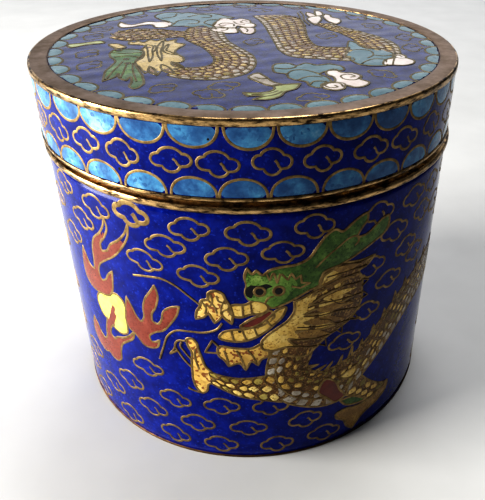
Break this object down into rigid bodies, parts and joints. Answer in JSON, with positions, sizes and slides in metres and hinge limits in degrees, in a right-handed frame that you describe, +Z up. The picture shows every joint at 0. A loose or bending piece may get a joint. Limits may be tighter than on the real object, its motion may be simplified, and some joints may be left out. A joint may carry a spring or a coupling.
{
  "type": "cloisonne enamel box",
  "caption": "Round cylindrical enamelled box with a shallow lift-off lid, brass rims and foot ring, and a dragon-and-cloud wirework pattern.",
  "frame": {"origin": "centre of the foot ring's underside", "axes": "+Z up the box's axis, -Y to the front, +X to the right seen from the front"},
  "size_m": [0.0848, 0.0848, 0.076],
  "materials": {
    "cloisonne enamel": "glossy cobalt enamel with coloured cells between brass wires",
    "brass": "worn, slightly tarnished brass"
  },
  "bodies": {
    "root": {"body": "cloisonne enamel", "foot_ring": "brass", "mouth_ring": "brass", "lid": "cloisonne enamel", "lid_hem": "brass", "lid_top_ring": "brass"}
  },
  "joints": []
}
